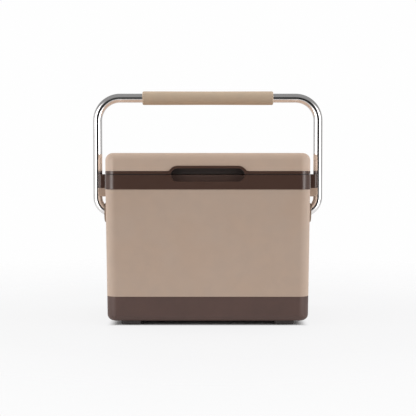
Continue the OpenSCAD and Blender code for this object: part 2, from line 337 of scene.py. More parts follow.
def cooler_box(name, z0, z1, inset, corner=0.0):
    """A box with the body's draft and round upright corners, inset from the body's outer face."""
    width, depth = LID_HIGH.x - LID_LOW.x, LID_HIGH.y - LID_LOW.y
    half_w, half_d = drafted(width, z1) - inset, drafted(depth, z1) - inset
    piece = add_box(name, (-half_w, MID_Y - half_d, z0), (half_w, MID_Y + half_d, z1))
    lower_w, lower_d = drafted(width, z0) - inset, drafted(depth, z0) - inset
    edit(piece)
    pick("FACE", lambda face: face.normal.z < -0.9)
    bpy.ops.transform.resize(
        value=(lower_w / half_w, lower_d / half_d, 1), center_override=(0, MID_Y, z0)
    )
    leave()
    radius = corner or sizes().corner - inset
    round_edges(piece, lambda edge: near_upright(edge), radius, sizes().corner_steps)
    return piece


def near_upright(edge):
    """A test for edges that are upright or lean a little."""
    a, b = (v.co for v in edge.verts)
    return abs(a.z - b.z) > 5 * max(abs(a.x - b.x), abs(a.y - b.y), 0.01 * MM)


def recess_bar(name, depth, margin, y_front=None):
    """A bar with the recess's outline, grown by a margin, from the front to a depth."""
    s = sizes()
    half_w = s.recess_width / 2 + margin
    half_h = s.recess_radius + margin
    y0 = FRONT_Y - 6 * MM if y_front is None else y_front
    piece = add_box(name, (-half_w, y0, RECESS_Z - half_h), (half_w, FRONT_Y + depth, RECESS_Z + half_h))
    lengthwise = lambda edge: near(edge.verts[0].co.x, edge.verts[1].co.x) and near(
        edge.verts[0].co.z, edge.verts[1].co.z
    )
    round_edges(piece, lengthwise, half_h * 0.999, 12)
    return piece


def slice_off(piece, z, keep_upper):
    """Cut a piece at a height and close it."""
    edit(piece)
    bpy.ops.mesh.select_all(action="SELECT")
    bpy.ops.mesh.bisect(
        plane_co=(0, 0, z), plane_no=(0, 0, 1), use_fill=True,
        clear_inner=keep_upper, clear_outer=not keep_upper,
    )
    leave()


def turned(name, base, axis, stations, sides=64):
    """A piece turned on a lathe: stations are (distance along the axis, radius), in order.

    A radius of 0 closes the piece. A profile that comes back to its first station makes a ring.
    """
    base, axis = Vector(base), Vector(axis)
    start, radius = stations[0]
    ring = start == stations[-1][0] and radius == stations[-1][1]
    bpy.ops.object.select_all(action="DESELECT")
    bpy.ops.mesh.primitive_circle_add(
        vertices=sides, radius=max(radius, 0.001 * MM), fill_type="NOTHING",
        location=base + axis * start, rotation=axis.to_track_quat("Z", "Y").to_euler(),
    )
    piece = placed(name)
    edit(piece)
    bpy.ops.mesh.select_all(action="SELECT")
    for place, next_radius in stations[1:]:
        new = max(next_radius, 0.001 * MM)
        bpy.ops.mesh.extrude_region_move(
            TRANSFORM_OT_translate={"value": axis * (place - start)}
        )
        factor = new / max(radius, 0.001 * MM)
        bpy.ops.transform.resize(value=(factor,) * 3, center_override=base + axis * place)
        start, radius = place, new
    weld(0.004 * MM)
    if not ring:
        bpy.ops.mesh.select_all(action="DESELECT")
        bpy.ops.mesh.select_non_manifold(extend=False)
        bpy.ops.mesh.edge_face_add()
    turn_outwards()
    leave()
    smooth(piece)
    return piece


def copy_of(piece, name, offset=(0, 0, 0), mirror_x=False):
    """A copy with its own mesh, moved or mirrored left to right."""
    only(piece)
    bpy.ops.object.duplicate(linked=False)
    copy = bpy.context.object
    copy.name = copy.data.name = name
    edit(copy)
    bpy.ops.mesh.select_all(action="SELECT")
    if mirror_x:
        bpy.ops.transform.mirror(constraint_axis=(True, False, False), center_override=(0, 0, 0))
        bpy.ops.mesh.normals_make_consistent(inside=False)
    bpy.ops.transform.translate(value=offset)
    leave()
    return copy


def settle(piece, body, material, slot, *nodes):
    """Give a finished piece its material, its body and the frame's nodes that it stands for."""
    piece.data.materials.clear()
    piece.data.materials.append(material)
    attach(piece, body)
    if nodes:
        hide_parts(*nodes)
    return piece


# Materials

def new_material(name, colour, roughness, metallic=0.0):
    """A material with its shader, and an Object coordinate to hang patterns on."""
    material = bpy.data.materials.get(name) or bpy.data.materials.new(name)
    material.use_nodes = True
    nodes = material.node_tree.nodes
    nodes.clear()
    output = nodes.new("ShaderNodeOutputMaterial")
    shader = nodes.new("ShaderNodeBsdfPrincipled")
    shader.inputs["Base Color"].default_value = (*colour, 1)
    shader.inputs["Roughness"].default_value = roughness
    shader.inputs["Metallic"].default_value = metallic
    material.node_tree.links.new(shader.outputs[0], output.inputs[0])
    place = nodes.new("ShaderNodeTexCoord")
    return material, shader, place.outputs["Object"]


def add_node(tree, kind):
    """A new shader node of a kind, such as Math."""
    return tree.nodes.new("ShaderNode" + kind)


def noise(material, place, scale, detail=3.0, stretch=(1, 1, 1)):
    """A noise pattern; the scale is in cycles a metre."""
    tree = material.node_tree
    mapping = add_node(tree, "Mapping")
    mapping.inputs["Scale"].default_value = stretch
    pattern = add_node(tree, "TexNoise")
    pattern.inputs["Scale"].default_value = scale
    pattern.inputs["Detail"].default_value = detail
    tree.links.new(place, mapping.inputs["Vector"])
    tree.links.new(mapping.outputs[0], pattern.inputs["Vector"])
    return pattern.outputs["Fac"]


def cells(material, place, scale):
    """A cell pattern, as in pebbled grain."""
    tree = material.node_tree
    pattern = add_node(tree, "TexVoronoi")
    pattern.feature = "SMOOTH_F1"
    pattern.inputs["Scale"].default_value = scale
    tree.links.new(place, pattern.inputs["Vector"])
    return pattern.outputs["Distance"]


def ramp(material, value, low, high, low_at=0.3, high_at=0.7):
    """Turn a pattern into a run between two colours or two grey values."""
    tree = material.node_tree
    node = add_node(tree, "ValToRGB")
    as_colour = lambda c: (*c, 1) if hasattr(c, "__len__") else (c, c, c, 1)
    first, last = node.color_ramp.elements
    first.position, first.color = low_at, as_colour(low)
    last.position, last.color = high_at, as_colour(high)
    tree.links.new(value, node.inputs["Fac"])
    return node.outputs["Color"]


def tint(material, base, other, share):
    """Mix two colour patterns by a third."""
    tree = material.node_tree
    node = add_node(tree, "Mix")
    node.data_type = "RGBA"
    tree.links.new(share, node.inputs["Factor"])
    tree.links.new(base, node.inputs["A"])
    tree.links.new(other, node.inputs["B"])
    return node.outputs["Result"]


def relief(material, shader, value, depth, strength=1.0, under=None):
    """Bump from a pattern, over an earlier bump if there is one."""
    tree = material.node_tree
    bump = add_node(tree, "Bump")
    bump.inputs["Strength"].default_value = strength
    bump.inputs["Distance"].default_value = depth
    tree.links.new(value, bump.inputs["Height"])
    if under is not None:
        tree.links.new(under.outputs[0], bump.inputs["Normal"])
    tree.links.new(bump.outputs[0], shader.inputs["Normal"])
    return bump


def maths(tree, operation, a, b=0.0):
    """A sum of two values, each a number or a socket."""
    node = add_node(tree, "Math")
    node.operation = operation
    for socket, value in zip(node.inputs, (a, b)):
        if isinstance(value, (int, float)):
            socket.default_value = value
        else:
            tree.links.new(value, socket)
    return node.outputs[0]


def between(tree, value, start, end, low, high):
    """A smooth run from low to high as a value goes from start to end."""
    node = add_node(tree, "MapRange")
    node.interpolation_type = "SMOOTHSTEP"
    for name, number in (("From Min", start), ("From Max", end), ("To Min", low), ("To Max", high)):
        node.inputs[name].default_value = number
    tree.links.new(value, node.inputs["Value"])
    return node.outputs["Result"]


def feed(material, value, shader, socket):
    """Put a pattern into one of the shader's sockets."""
    material.node_tree.links.new(value, shader.inputs[socket])


def shade(colour, factor, warm=0.0):
    """A lighter or darker, warmer or cooler version of a colour."""
    r, g, b = colour
    return (r * factor * (1 + warm), g * factor, b * factor * (1 - warm))


def grained_beige(name, level=1.0, polish=0.0):
    """Moulded shell with a fine pebbled grain and a faint mottle; a level above one makes a lighter copy,
    painted light.
    """
    colour = shade(colours().beige, level)
    material, shader, place = new_material(name, colour, 0.5)
    patches = ramp(
        material, noise(material, place, 22, 3),
        shade(colour, 0.985, 0.018), shade(colour, 1.015, -0.018), 0.38, 0.62,
    )
    clouds = ramp(
        material, noise(material, place, 60, 4),
        shade(colour, 0.975, -0.01), shade(colour, 1.025, 0.01), 0.35, 0.65,
    )
    share = ramp(material, noise(material, place, 9, 2), 0.25, 0.75)
    feed(material, tint(material, patches, clouds, share), shader, "Base Color")
    feed(
        material, ramp(material, noise(material, place, 90, 4), 0.47 - polish, 0.6 - polish),
        shader, "Roughness",
    )
    pebbles = relief(material, shader, cells(material, place, 950), 0.1 * MM, 0.55)
    relief(material, shader, noise(material, place, 260, 3), 0.12 * MM, 0.35, pebbles)
    shader.inputs["Specular IOR Level"].default_value = 0.4
    return material


def moulded(name, colour, roughness, mottle, shine=None, grain=None, metallic=0.0):
    """A material with a mottled colour, an uneven roughness and a fine relief, each from a noise.

    Each is (scale, detail) and then: mottle, two colours and where they start and end; shine, two
    roughnesses; grain, a depth and a strength.
    """
    material, shader, place = new_material(name, colour, roughness, metallic)
    for run, socket in ((mottle, "Base Color"), (shine, "Roughness")):
        if run:
            feed(material, ramp(material, noise(material, place, *run[:2]), *run[2:]), shader, socket)
    if grain:
        relief(material, shader, noise(material, place, *grain[:2]), *grain[2:])
    return material


def gloss_brown():
    """Moulded brown plastic with a soft gloss."""
    colour = colours().rim
    mottle = (30, 3, shade(colour, 0.98), shade(colour, 1.02))
    return moulded("gloss_brown", colour, 0.26, mottle, (90, 2, 0.2, 0.27), (60, 1, 0.03 * MM, 0.15))


def brown_with_painted_light(name, depth):
    """The rim's plastic, duller, its colour scaled by a factor: below one it is painted shade, above one
    painted light, for the walls of the recess and the seam.
    """
    colour = shade(colours().rim, depth, 0.05)
    mottle = (60, 3, shade(colour, 0.9), shade(colour, 1.1))
    return moulded(name, colour, 0.5, mottle, (150, 3, 0.42, 0.56), (900, 2, 0.03 * MM, 0.4))


def satin_brown():
    """Base plastic with a fine spark-eroded texture."""
    colour = colours().base
    mottle = (35, 3, shade(colour, 0.94), shade(colour, 1.06, 0.02))
    return moulded("satin_brown", colour, 0.45, mottle, (150, 4, 0.4, 0.52), (1400, 3, 0.03 * MM, 0.4))


def taupe_plastic():
    """Pivot cup plastic."""
    colour = colours().pivot
    mottle = (80, 3, shade(colour, 0.93), shade(colour, 1.06))
    return moulded("taupe_plastic", colour, 0.42, mottle, grain=(1200, 3, 0.02 * MM, 0.4))


def polished_tube():
    """Polished stainless tube, slightly uneven in its polish."""
    mottle = (60, 3, (0.83, 0.81, 0.805), (0.89, 0.875, 0.87))
    return moulded(
        "polished_tube", (0.86, 0.845, 0.84), 0.1, mottle, (240, 3, 0.07, 0.14),
        (500, 2, 0.004 * MM, 0.3), metallic=1.0,
    )


def grip_rubber():
    """Soft sleeve with a fine matt grain."""
    colour = colours().grip
    material, shader, place = new_material("grip_rubber", colour, 0.62)
    clouds = ramp(
        material, noise(material, place, 70, 4),
        shade(colour, 0.98, -0.008), shade(colour, 1.02, 0.008), 0.35, 0.65,
    )
    feed(material, clouds, shader, "Base Color")
    feed(material, ramp(material, noise(material, place, 200, 3), 0.56, 0.7), shader, "Roughness")
    relief(material, shader, cells(material, place, 1500), 0.06 * MM, 0.5)
    shader.inputs["Specular IOR Level"].default_value = 0.3
    return material


def white_liner():
    """Smooth food-safe liner."""
    colour = colours().liner
    mottle = (18, 3, shade(colour, 0.97, 0.01), shade(colour, 1.01))
    return moulded("white_liner", colour, 0.3, mottle, (100, 3, 0.26, 0.36), (45, 2, 0.08 * MM, 0.2))


def black_rubber():
    """Feet and seal."""
    colour = colours().rubber
    mottle = (90, 3, shade(colour, 0.8), shade(colour, 1.25))
    return moulded("black_rubber", colour, 0.6, mottle, grain=(1500, 3, 0.04 * MM, 0.5))


def bearing_plastic():
    """Dark self-lubricating plastic of the bushes and plugs."""
    mottle = (150, 3, 0.014, 0.026)
    return moulded(
        "bearing_plastic", (0.02, 0.019, 0.018), 0.38, mottle, grain=(1800, 2, 0.015 * MM, 0.4)
    )


def turned_steel():
    """Screws and hinge pins, with turning lines round them."""
    material, shader, place = new_material("turned_steel", (0.62, 0.62, 0.63), 0.3, 1.0)
    lines = noise(material, place, 900, 2, (6, 1, 1))
    feed(material, ramp(material, lines, 0.24, 0.4), shader, "Roughness")
    relief(material, shader, lines, 0.01 * MM, 0.5)
    return material


def cellular_foam():
    """Rigid foam, seen only if the chest is taken apart."""
    colour = (0.78, 0.69, 0.46)
    material, shader, place = new_material("cellular_foam", colour, 0.85)
    pores = cells(material, place, 700)
    feed(material, ramp(material, pores, shade(colour, 0.8), colour, 0.1, 0.6), shader, "Base Color")
    relief(material, shader, pores, 0.3 * MM, 0.6)
    return material


# Parts that two pieces share

def ear(name, z0, z1, low_round):
    """The right-hand ear between two heights: a lip in front of the bail's leg, open behind it."""
    root = LID_HIGH.x - 2 * MM
    half, lip, back = 20 * MM, 169.5 * MM, 164.2 * MM
    corner = 5 * MM
    blocks = []
    for reach, y_end, y_in in ((lip, -half, 2 * MM), (back, half, -4 * MM)):
        low_y, high_y = sorted((y_end, y_in))
        block = add_box(name, (root, MID_Y + low_y, z0), (reach, MID_Y + high_y, z1))
        if low_round:
            round_edges(
                block, lambda e: level_at(z0)(e) and all(near(v.co.x, reach) for v in e.verts), low_round, 8
            )
        outer = MID_Y + y_end
        corner_chain = (
            lambda e: all(near(v.co.y, outer) and v.co.x > root + MM for v in e.verts)
            and not level_at(z0)(e) and not level_at(z1)(e)
        )
        round_edges(block, corner_chain, corner, 8)
        blocks.append(block)
    piece, rear = blocks
    merge(piece, rear)
    leg = TUBE_HIGH.x - sizes().tube
    cut(piece, add_rod("groove", (leg, MID_Y, z0 - MM), (leg, MID_Y, z1 + MM), sizes().tube + 0.4 * MM))
    return piece


def both_sides(piece):
    """The piece and its mirror image."""
    return piece, copy_of(piece, piece.name + "_left", mirror_x=True)


def hinge_rod(x, length, radius, sides=48):
    """A rod on the hinge's axis, centred at x."""
    half = length / 2
    return add_rod("rod", (x - half, HINGE.y, HINGE.z), (x + half, HINGE.y, HINGE.z), radius, sides)


def housing(margin, depth_margin=0.0):
    """The wall round the finger recess, as a solid bar."""
    return recess_bar(
        "housing", sizes().recess_depth + 2.2 * MM + depth_margin, 2.2 * MM + margin,
        FRONT_Y + 0.2 * MM - 10 * depth_margin,
    )


def in_recess(x, y, z):
    """Whether a point is on the walls of the finger recess."""
    s = sizes()
    return (
        FRONT_Y + 1.5 * MM < y < FRONT_Y + s.recess_depth + 0.1 * MM
        and abs(x) < s.recess_width / 2 + 0.1 * MM
        and abs(z - RECESS_Z) < s.recess_radius + 0.1 * MM
    )


def in_seam(x, y, z):
    """Whether a point is on the rib that closes the seam, except at the rear."""
    return z < FRAME_BOTTOM - 0.02 * MM and y < REAR_Y - 2 * MM


def paint_light_on_faces(piece, material, test):
    """Give some faces of a finished piece a second material, by their centres; here it is painted shade or
    painted light.
    """
    piece.data.materials.append(material)
    slot = len(piece.data.materials) - 1
    for face in piece.data.polygons:
        if test(*face.center):
            face.material_index = slot


def screw_holes(z0, z1):
    """Rods for the holes of the four foot screws."""
    return [
        add_rod("hole", (x, y, z0), (x, y, z1), PILOT_HOLE, 24) for x, y in foot_centres()
    ]


def foot_centres():
    """The middle of each foot, as (x, y)."""
    x = (FOOT_LOW.x + FOOT_HIGH.x) / 2
    y = (FOOT_LOW.y + FOOT_HIGH.y) / 2 - MID_Y
    return [(sx * x, MID_Y + sy * y) for sx in (-1, 1) for sy in (-1, 1)]


# Pieces

class COOLER_OT_outer_shell(Operator):
    """Build the drafted body shell with its ear bosses and pivot holes"""

    bl_idname = "cooler.outer_shell"
    bl_label = "Outer shell"

    def execute(self, context):
        z0, z1 = TRAY_HIGH.z, SHELL_TOP
        floor = TRAY_LOW.z + 3 * MM
        wall = 2.4 * MM
        shell = cooler_box("body_shell", z0, z1, 0)
        for bosses in both_sides(ear("boss", z1 - 13 * MM, z1, 5.8 * MM)):
            merge(shell, bosses)
        lower = cooler_box("lower", floor, z0 + MM, wall)
        round_edges(lower, level_at(floor), 7 * MM, 8)
        tongue = cooler_box("tongue", z1 - MM, z1 + 7 * MM, wall)
        merge(shell, lower, tongue)
        hollow = cooler_box("hollow", floor + wall, z1 + 8 * MM, 2 * wall)
        round_edges(hollow, level_at(floor + wall), 5 * MM, 6)
        cut(shell, hollow)
        for side in (-1, 1):
            start, end = (side * x * MM for x in (120, 170))
            rod = add_rod("pivot_hole", (start, PIVOT.y, PIVOT.z), (end, PIVOT.y, PIVOT.z), CUP_HOLE, 96)
            cut(shell, rod)
        cut(shell, housing(0.5 * MM, 0.5 * MM), *screw_holes(floor - MM, floor + 5 * MM))
        soften(shell, 0.7 * MM)
        settle(shell, "root", grained_beige("body_beige"), "beige_shell", "outer_shell")
        return {"FINISHED"}


class COOLER_OT_rim_band(Operator):
    """Build the rim band with its deck, finger recess, ears and hinge knuckles"""

    bl_idname = "cooler.rim_band"
    bl_label = "Rim band"

    def execute(self, context):
        s = sizes()
        z0, z1 = SHELL_TOP, RIM_TOP
        band = cooler_box("rim_collar", z0, z1, -s.rim_proud)
        inside = cooler_box("inside", z0 - MM, z1 - 2.5 * MM, 2.2 * MM)
        mouth = cooler_box("mouth", z0, z1 + MM, 27.5 * MM, 20 * MM)
        cut(band, inside, mouth)
        wall = housing(0)
        slice_off(wall, z1, False)
        slice_off(wall, z0, True)
        merge(band, wall)
        recess = recess_bar("recess", s.recess_depth, 0)
        cut(band, recess)
        face = FRONT_Y - s.rim_proud
        lip = lambda e: all(near(v.co.y, face) and v.co.z < RIM_TOP - 0.2 * MM for v in e.verts)
        round_edges(
            band, lambda e: lip(e) and all(v.co.z > z0 + 5 * MM for v in e.verts), 1.8 * MM, 6
        )
        for ears in both_sides(ear("ear", z0, z1, 0)):
            merge(band, ears)
        soften(band, 0.6 * MM)
        offset = (LID_KNUCKLE + BAND_KNUCKLE) / 2 + 0.3 * MM
        reach = LID_KNUCKLE / 2 + 0.3 * MM + BAND_KNUCKLE
        for centre in HINGE_XS:
            cut(band, hinge_rod(centre, LID_KNUCKLE + 0.6 * MM, KNUCKLE + 0.4 * MM))
            for side in (-1, 1):
                cut(band, hinge_rod(centre + side * (reach + MM), 2 * MM, PIN_HEAD))
            for x in (centre - offset, centre + offset):
                web = add_box(
                    "web", (x - BAND_KNUCKLE / 2, HINGE.y - 3.5 * MM, HINGE.z - 17 * MM),
                    (x + BAND_KNUCKLE / 2, HINGE.y + 3.9 * MM, HINGE.z - 2 * MM),
                )
                edit(web)
                pick("EDGE", lambda e: all(v.co.y > HINGE.y and v.co.z < HINGE.z - 10 * MM for v in e.verts))
                bpy.ops.transform.translate(value=(0, -6.2 * MM, 0))
                leave()
                merge(band, web, hinge_rod(x, BAND_KNUCKLE, KNUCKLE))
            cut(band, hinge_rod(centre, 50 * MM, PIN_HOLE))
        smooth(band)
        settle(band, "root", gloss_brown(), "rim_plastic", "rim_band")
        # Painted light: the walls of the recess in the rim get a lighter, warmer copy of the rim's plastic,
        # standing in for the light inside the scoop.
        paint_light_on_faces(band, brown_with_painted_light("scoop_painted_light", 1.15), in_recess)
        return {"FINISHED"}


class COOLER_OT_base_tray(Operator):
    """Build the base tray with its rounded lower edge"""

    bl_idname = "cooler.base_tray"
    bl_label = "Base tray"

    def execute(self, context):
        s = sizes()
        z0, z1 = TRAY_LOW.z, TRAY_HIGH.z
        tray = cooler_box("base_pan", z0, z1, 0)
        round_edges(tray, level_at(z0), s.base_edge, 10)
        delete_faces(tray, lambda f: f.normal.z > 0.9 and near(f.calc_center_median().z, z1))
        thicken(tray, 2.2 * MM)
        cut(tray, *screw_holes(z0 - MM, z0 + 5 * MM))
        soften(tray, 0.5 * MM)
        settle(tray, "root", satin_brown(), "base_plastic", "base_tray")
        return {"FINISHED"}


class COOLER_OT_feet(Operator):
    """Build the four rubber feet and the screws that hold them"""

    bl_idname = "cooler.feet"
    bl_label = "Feet and screws"

    def execute(self, context):
        rubber, steel = black_rubber(), turned_steel()
        centre = (FOOT_LOW + FOOT_HIGH) / 2
        foot = add_box("foot_pad_front_right", FOOT_LOW, FOOT_HIGH)
        round_edges(foot, upright, 5 * MM, 8)
        tread = []
        for step in (-2, -1, 1, 2):
            x = centre.x + step * 5.5 * MM
            low = (x - 0.6 * MM, FOOT_LOW.y - MM, FOOT_LOW.z - MM)
            tread.append(add_box("groove", low, (x + 0.6 * MM, FOOT_HIGH.y + MM, FOOT_LOW.z + 0.8 * MM)))
        head = add_rod("head", (centre.x, centre.y, -MM), (centre.x, centre.y, 3.2 * MM), 4.4 * MM, 40)
        shank = add_rod("shank", (centre.x, centre.y, -MM), (centre.x, centre.y, 7 * MM), PILOT_HOLE, 24)
        cut(foot, *tread, head, shank)
        soften(foot, 0.3 * MM)
        screw = turned("foot_screw_set", (centre.x, centre.y, 0), (0, 0, 1), self.screw_profile(), 40)
        slot_width = 0.5 * MM
        for long_x, long_y in ((2.6 * MM, slot_width), (slot_width, 2.6 * MM)):
            low = (centre.x - long_x, centre.y - long_y, 0.5 * MM)
            high = (centre.x + long_x, centre.y + long_y, 2 * MM)
            cut(screw, add_box("cross", low, high))
        smooth(screw)
        places = {
            "front_left": (-1, 0), "rear_left": (-1, 1), "rear_right": (1, 1),
        }
        screws = [screw]
        across, along = -2 * centre.x, 2 * (MID_Y - centre.y)
        for place, (side, rear) in places.items():
            shift = (across if side < 0 else 0, along if rear else 0, 0)
            other = copy_of(foot, "foot_pad_" + place, shift)
            settle(other, "root", rubber, "black_rubber", "foot_" + place)
            screws.append(copy_of(screw, "screw", shift))
        settle(foot, "root", rubber, "black_rubber", "foot_front_right")
        bpy.ops.object.select_all(action="DESELECT")
        for item in screws:
            item.select_set(True)
        bpy.context.view_layer.objects.active = screw
        bpy.ops.object.join()
        settle(screw, "root", steel, "steel_fastener", "foot_screws")
        return {"FINISHED"}

    def screw_profile(self):
        """A pan head, a threaded shank and a point, as (height, radius)."""
        head = [(0.8, 2.9), (0.95, 3.4), (1.3, 3.7), (1.7, 3.8), (3.2, 3.8), (3.2, 1.8)]
        thread = []
        for turn in range(9):
            z = 4 + turn * 1.3
            thread += [(z, 1.45), (z + 0.5, 1.88), (z + 0.7, 1.88), (z + 1.1, 1.45)]
        tip = [(16.5, 1.2), (18.4, 0)]
        return [(z * MM, r * MM) for z, r in [(0.8, 0)] + head + thread + tip]


class COOLER_OT_pivots(Operator):
    """Build the cups, the bushes and the bail's end plugs"""

    bl_idname = "cooler.pivots"
    bl_label = "Pivots"

    def execute(self, context):
        taupe, bearing = taupe_plastic(), bearing_plastic()
        axis = Vector((0, PIVOT.y, PIVOT.z))
        x0, x1 = CUP_LOW.x, CUP_HIGH.x
        pocket = BUSH_HIGH.x
        outer, mouth, seat = CUP_RADIUS, 13.3 * MM, 10.06 * MM
        tiny = 0.5 * MM
        cup = turned(
            "pivot_housing_right", axis, (1, 0, 0),
            [
                (x0, 0), (x0, outer - tiny), (x0 + tiny, outer), (x1 - 0.8 * MM, outer),
                (x1 - 0.3 * MM, outer - 0.12 * MM), (x1, outer - 0.6 * MM), (x1, mouth + 0.5 * MM),
                (x1 - 0.15 * MM, mouth + 0.15 * MM), (x1 - 0.5 * MM, mouth), (pocket + 0.4 * MM, mouth),
                (pocket, mouth - 0.4 * MM), (pocket, seat + 0.3 * MM), (pocket - 0.3 * MM, seat),
                (x0 + 1.6 * MM, seat), (x0 + 1.6 * MM, 0),
            ], 96,
        )
        b0, b1 = BUSH_LOW.x, BUSH_HIGH.x
        big, bore = 10 * MM, sizes().tube + 0.06 * MM
        bush = turned(
            "pivot_sleeve_right", axis, (1, 0, 0),
            [
                (b0, bore + tiny), (b0, big - tiny), (b0 + tiny, big), (b1 - tiny, big), (b1, big - tiny),
                (b1, bore + tiny), (b1 - tiny, bore), (b0 + tiny, bore), (b0, bore + tiny),
            ],
        )
        p0, p1 = PLUG_LOW.x, PLUG_HIGH.x
        flange, stem = 9 * MM, sizes().tube - 1.25 * MM
        seat_x = p0 + 1.6 * MM
        plug = turned(
            "tube_plug_right", axis, (1, 0, 0),
            [
                (p0, 0), (p0, 3 * MM), (p0 + 0.5 * MM, 3.4 * MM), (p0 + 0.5 * MM, 5 * MM), (p0, 5.4 * MM),
                (p0, flange - tiny), (p0 + tiny, flange), (seat_x - 0.2 * MM, flange),
                (seat_x, flange - 0.2 * MM), (seat_x, stem), (p1 - MM, stem), (p1, stem - MM), (p1, 0),
            ],
        )
        for piece, body, material, slot, node in (
            (cup, "root", taupe, "pivot_plastic", "pivot_cup"),
            (bush, "pivot_bushes", bearing, "bearing_plastic", "pivot_bush"),
            (plug, "bail", bearing, "bearing_plastic", "bail_end_plug"),
        ):
            name = piece.name.replace("_right", "_left")
            settle(copy_of(piece, name, mirror_x=True), body, material, slot, node + "_left")
            settle(piece, body, material, slot, node + "_right")
        return {"FINISHED"}


class COOLER_OT_hinge_pins(Operator):
    """Build the two hinge pins"""

    bl_idname = "cooler.hinge_pins"
    bl_label = "Hinge pins"

    def execute(self, context):
        x0, x1 = PIN_LOW.x, PIN_HIGH.x
        head, shank, thick = 3.2 * MM, 2 * MM, 1.2 * MM
        dome = [(0, 0), (0, 0.5), (0.12, 0.78), (0.4, 0.95), (0.8, 1.0), (1.0, 1.0)]
        profile = [(x0 + t * thick, r * head) for t, r in dome] + [(x0 + thick, shank)]
        profile += [(x1 - thick, shank)] + [(x1 - t * thick, r * head) for t, r in reversed(dome)]
        pin = turned("hinge_rod_right", (0, HINGE.y, HINGE.z), (1, 0, 0), profile, 40)
        other = copy_of(pin, "hinge_rod_left", (-2 * HINGE.x, 0, 0))
        steel = turned_steel()
        settle(pin, "root", steel, "steel_fastener", "hinge_pin_right")
        settle(other, "root", steel, "steel_fastener", "hinge_pin_left")
        return {"FINISHED"}


class COOLER_OT_liner(Operator):
    """Build the liner, and give the foam behind it its look"""

    bl_idname = "cooler.liner"
    bl_label = "Liner and foam"

    def execute(self, context):
        z0, z1 = LINER_LOW.z, LINER_HIGH.z
        wall, flange = 2.5 * MM, 2.2 * MM
        liner = cooler_box("cavity_liner", z0, z1, 25 * MM, 22.5 * MM)
        round_edges(liner, level_at(z0), 12 * MM, 10)
        rim = cooler_box("rim", z1 - flange, z1, 12 * MM, 8 * MM)
        merge(liner, rim)
        hollow = cooler_box("hollow", z0 + wall, z1 + MM, 25 * MM + wall, 20 * MM)
        round_edges(hollow, level_at(z0 + wall), 9.5 * MM, 10)
        cut(liner, hollow, housing(0.5 * MM, 0.5 * MM))
        soften(liner, 0.4 * MM)
        settle(liner, "root", white_liner(), "liner", "inner_liner")
        foam = cellular_foam()
        for node in ("foam_core", "lid_foam"):
            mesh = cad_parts[node].data
            mesh.materials.clear()
            mesh.materials.append(foam)
        return {"FINISHED"}


class COOLER_OT_lid_shell(Operator):
    """Build the lid's cap with its rounded upper edge"""

    bl_idname = "cooler.lid_shell"
    bl_label = "Lid shell"

    def execute(self, context):
        s = sizes()
        z0, z1 = LID_LOW.z, LID_HIGH.z
        cap = cooler_box("lid_cap", z0, z1, 0)
        round_edges(cap, level_at(z1), s.lid_edge, 12)
        delete_faces(cap, lambda f: f.normal.z < -0.9)
        thicken(cap, 2.8 * MM)
        cut(cap, housing(0.2 * MM, 0.2 * MM))
        soften(cap, 0.6 * MM)
        # Painted light: the lid's cap gets a lighter copy of the body's beige, level 1.14, for the light
        # that falls on it.
        settle(cap, "lid", grained_beige("lid_beige_painted_light", 1.14, 0.13), "beige_shell", "lid_shell")
        return {"FINISHED"}


